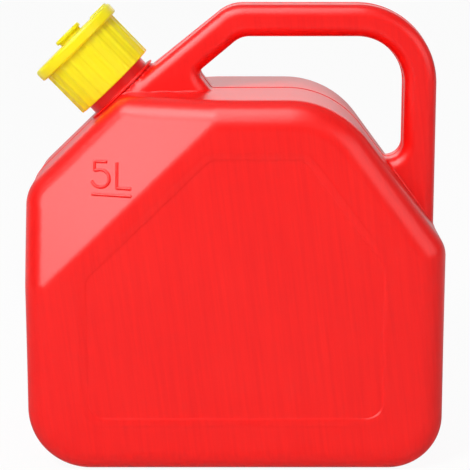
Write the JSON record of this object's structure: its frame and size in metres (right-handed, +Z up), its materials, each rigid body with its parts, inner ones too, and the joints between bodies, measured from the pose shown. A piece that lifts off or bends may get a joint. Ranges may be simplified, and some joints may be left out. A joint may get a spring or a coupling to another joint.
{
  "type": "fuel can",
  "caption": "Hollow moulded fuel can with a loop handle and a slanted screw neck, closed by a ribbed collar over a closing disc and a stowed pouring spout.",
  "frame": {"origin": "under the middle of the can, on the surface that it stands on", "axes": "+Z up, +X from the neck towards the handle's upright leg, the broad faces square to Y"},
  "size_m": [0.24, 0.136, 0.265],
  "materials": {
    "red_plastic": "blow-moulded polyethylene, soft gloss",
    "yellow_plastic": "injection-moulded polyethylene, soft gloss",
    "seal_rubber": "matt black"
  },
  "bodies": {
    "can": {"can_body": "red_plastic", "rim_gasket": "seal_rubber", "pour_spout": "yellow_plastic"},
    "closing_disc": {"closing_disc": "yellow_plastic", "disc_gasket": "seal_rubber"},
    "collar": {"screw_collar": "yellow_plastic"}
  },
  "joints": [
    {"name": "closure_lift", "type": "slide", "parent": "can", "child": "closing_disc", "axis": [-0.6947, 0, 0.7193], "range_m": [0, 0.0125]},
    {"name": "collar_turn", "type": "hinge", "parent": "closing_disc", "child": "collar", "pos_m": [-0.06594, 0, 0.21411], "axis": [-0.6947, 0, 0.7193], "range_deg": [0, 900]}
  ],
  "couplings": [
    {"joint": "closure_lift", "follows": "collar_turn", "m_per_rad": 0.00079577}
  ]
}
